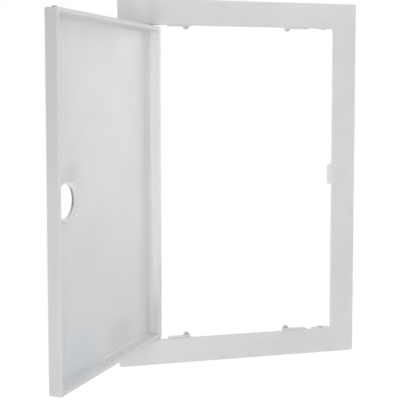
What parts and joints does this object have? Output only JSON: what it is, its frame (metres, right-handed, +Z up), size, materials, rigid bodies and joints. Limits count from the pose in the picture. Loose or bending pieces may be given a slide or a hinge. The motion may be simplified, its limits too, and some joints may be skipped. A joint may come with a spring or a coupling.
{
  "type": "access panel",
  "caption": "White plastic wall inspection hatch: flat frame with a neck for the wall hole, and a tray-shaped door with a finger hole, shown swung open on its pins.",
  "frame": {"origin": "centre of the opening, in the wall plane, which is the rear face of the flange", "axes": "+X to the right seen from the room, +Y into the wall, +Z up"},
  "size_m": [0.2881, 0.1561, 0.318],
  "materials": {
    "white_plastic": "satin moulded ABS"
  },
  "bodies": {
    "frame": {"frame": "white_plastic"},
    "door": {"door": "white_plastic"}
  },
  "joints": [
    {"name": "door_hinge", "type": "hinge", "parent": "frame", "child": "door", "pos_m": [-0.0795, 0.001, 0], "axis": [0, 0, 1], "range_deg": [0, 126]}
  ]
}
